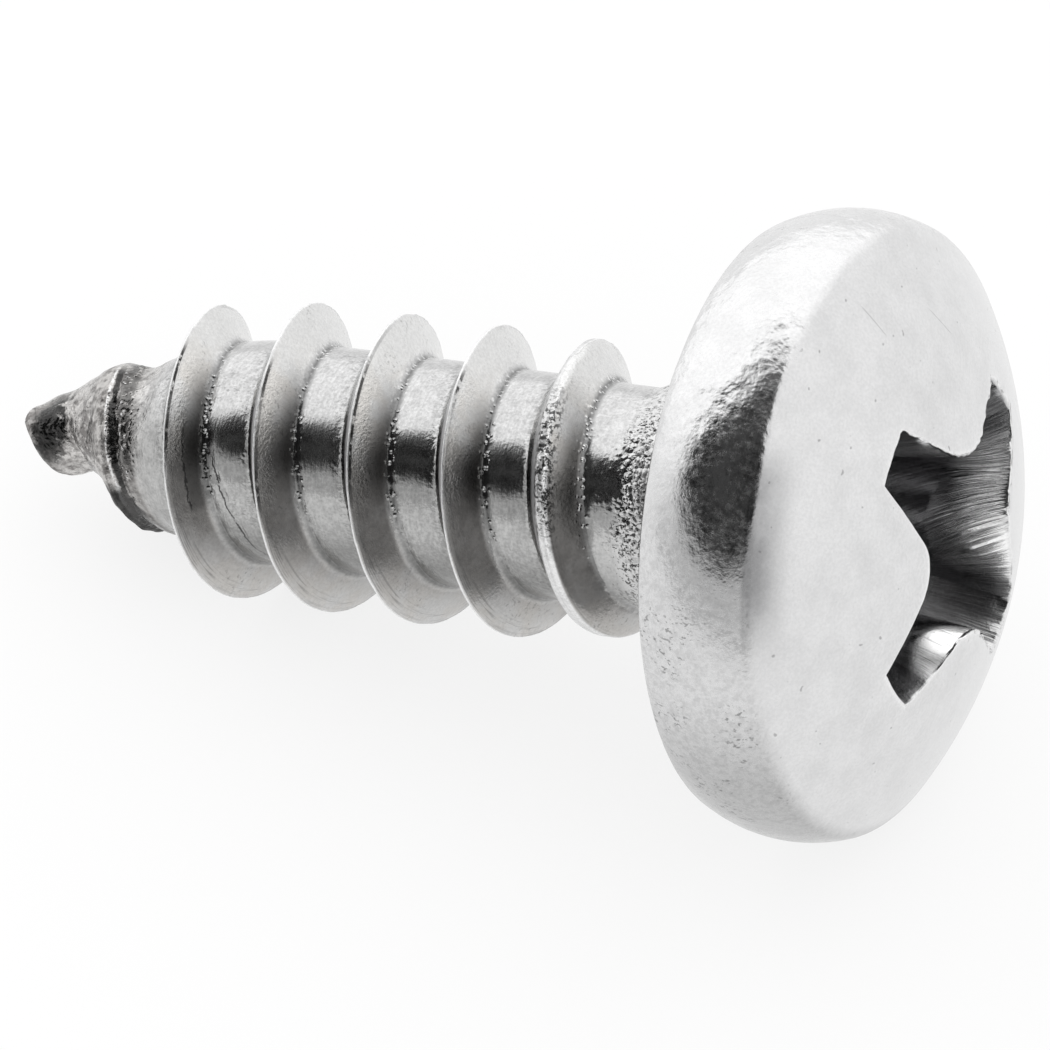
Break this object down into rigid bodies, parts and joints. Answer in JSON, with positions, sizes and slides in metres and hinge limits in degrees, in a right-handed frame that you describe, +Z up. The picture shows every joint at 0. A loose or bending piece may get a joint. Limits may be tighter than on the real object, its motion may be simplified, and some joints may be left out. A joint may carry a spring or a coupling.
{
  "type": "sheet metal screw",
  "caption": "Tapping screw with a domed pan head, a cross recess, a coarse sharp right-hand thread and a blunt cropped cone point.",
  "frame": {"origin": "on the floor under the middle of the lying screw's box", "axes": "+Z up; the screw's axis lies in the XZ plane, the head is towards +X and the tip, which hangs lower, towards -X"},
  "size_m": [0.0158, 0.0094, 0.0093],
  "materials": {
    "stainless_steel": "satin"
  },
  "bodies": {
    "root": {"screw": "stainless_steel"}
  },
  "joints": []
}
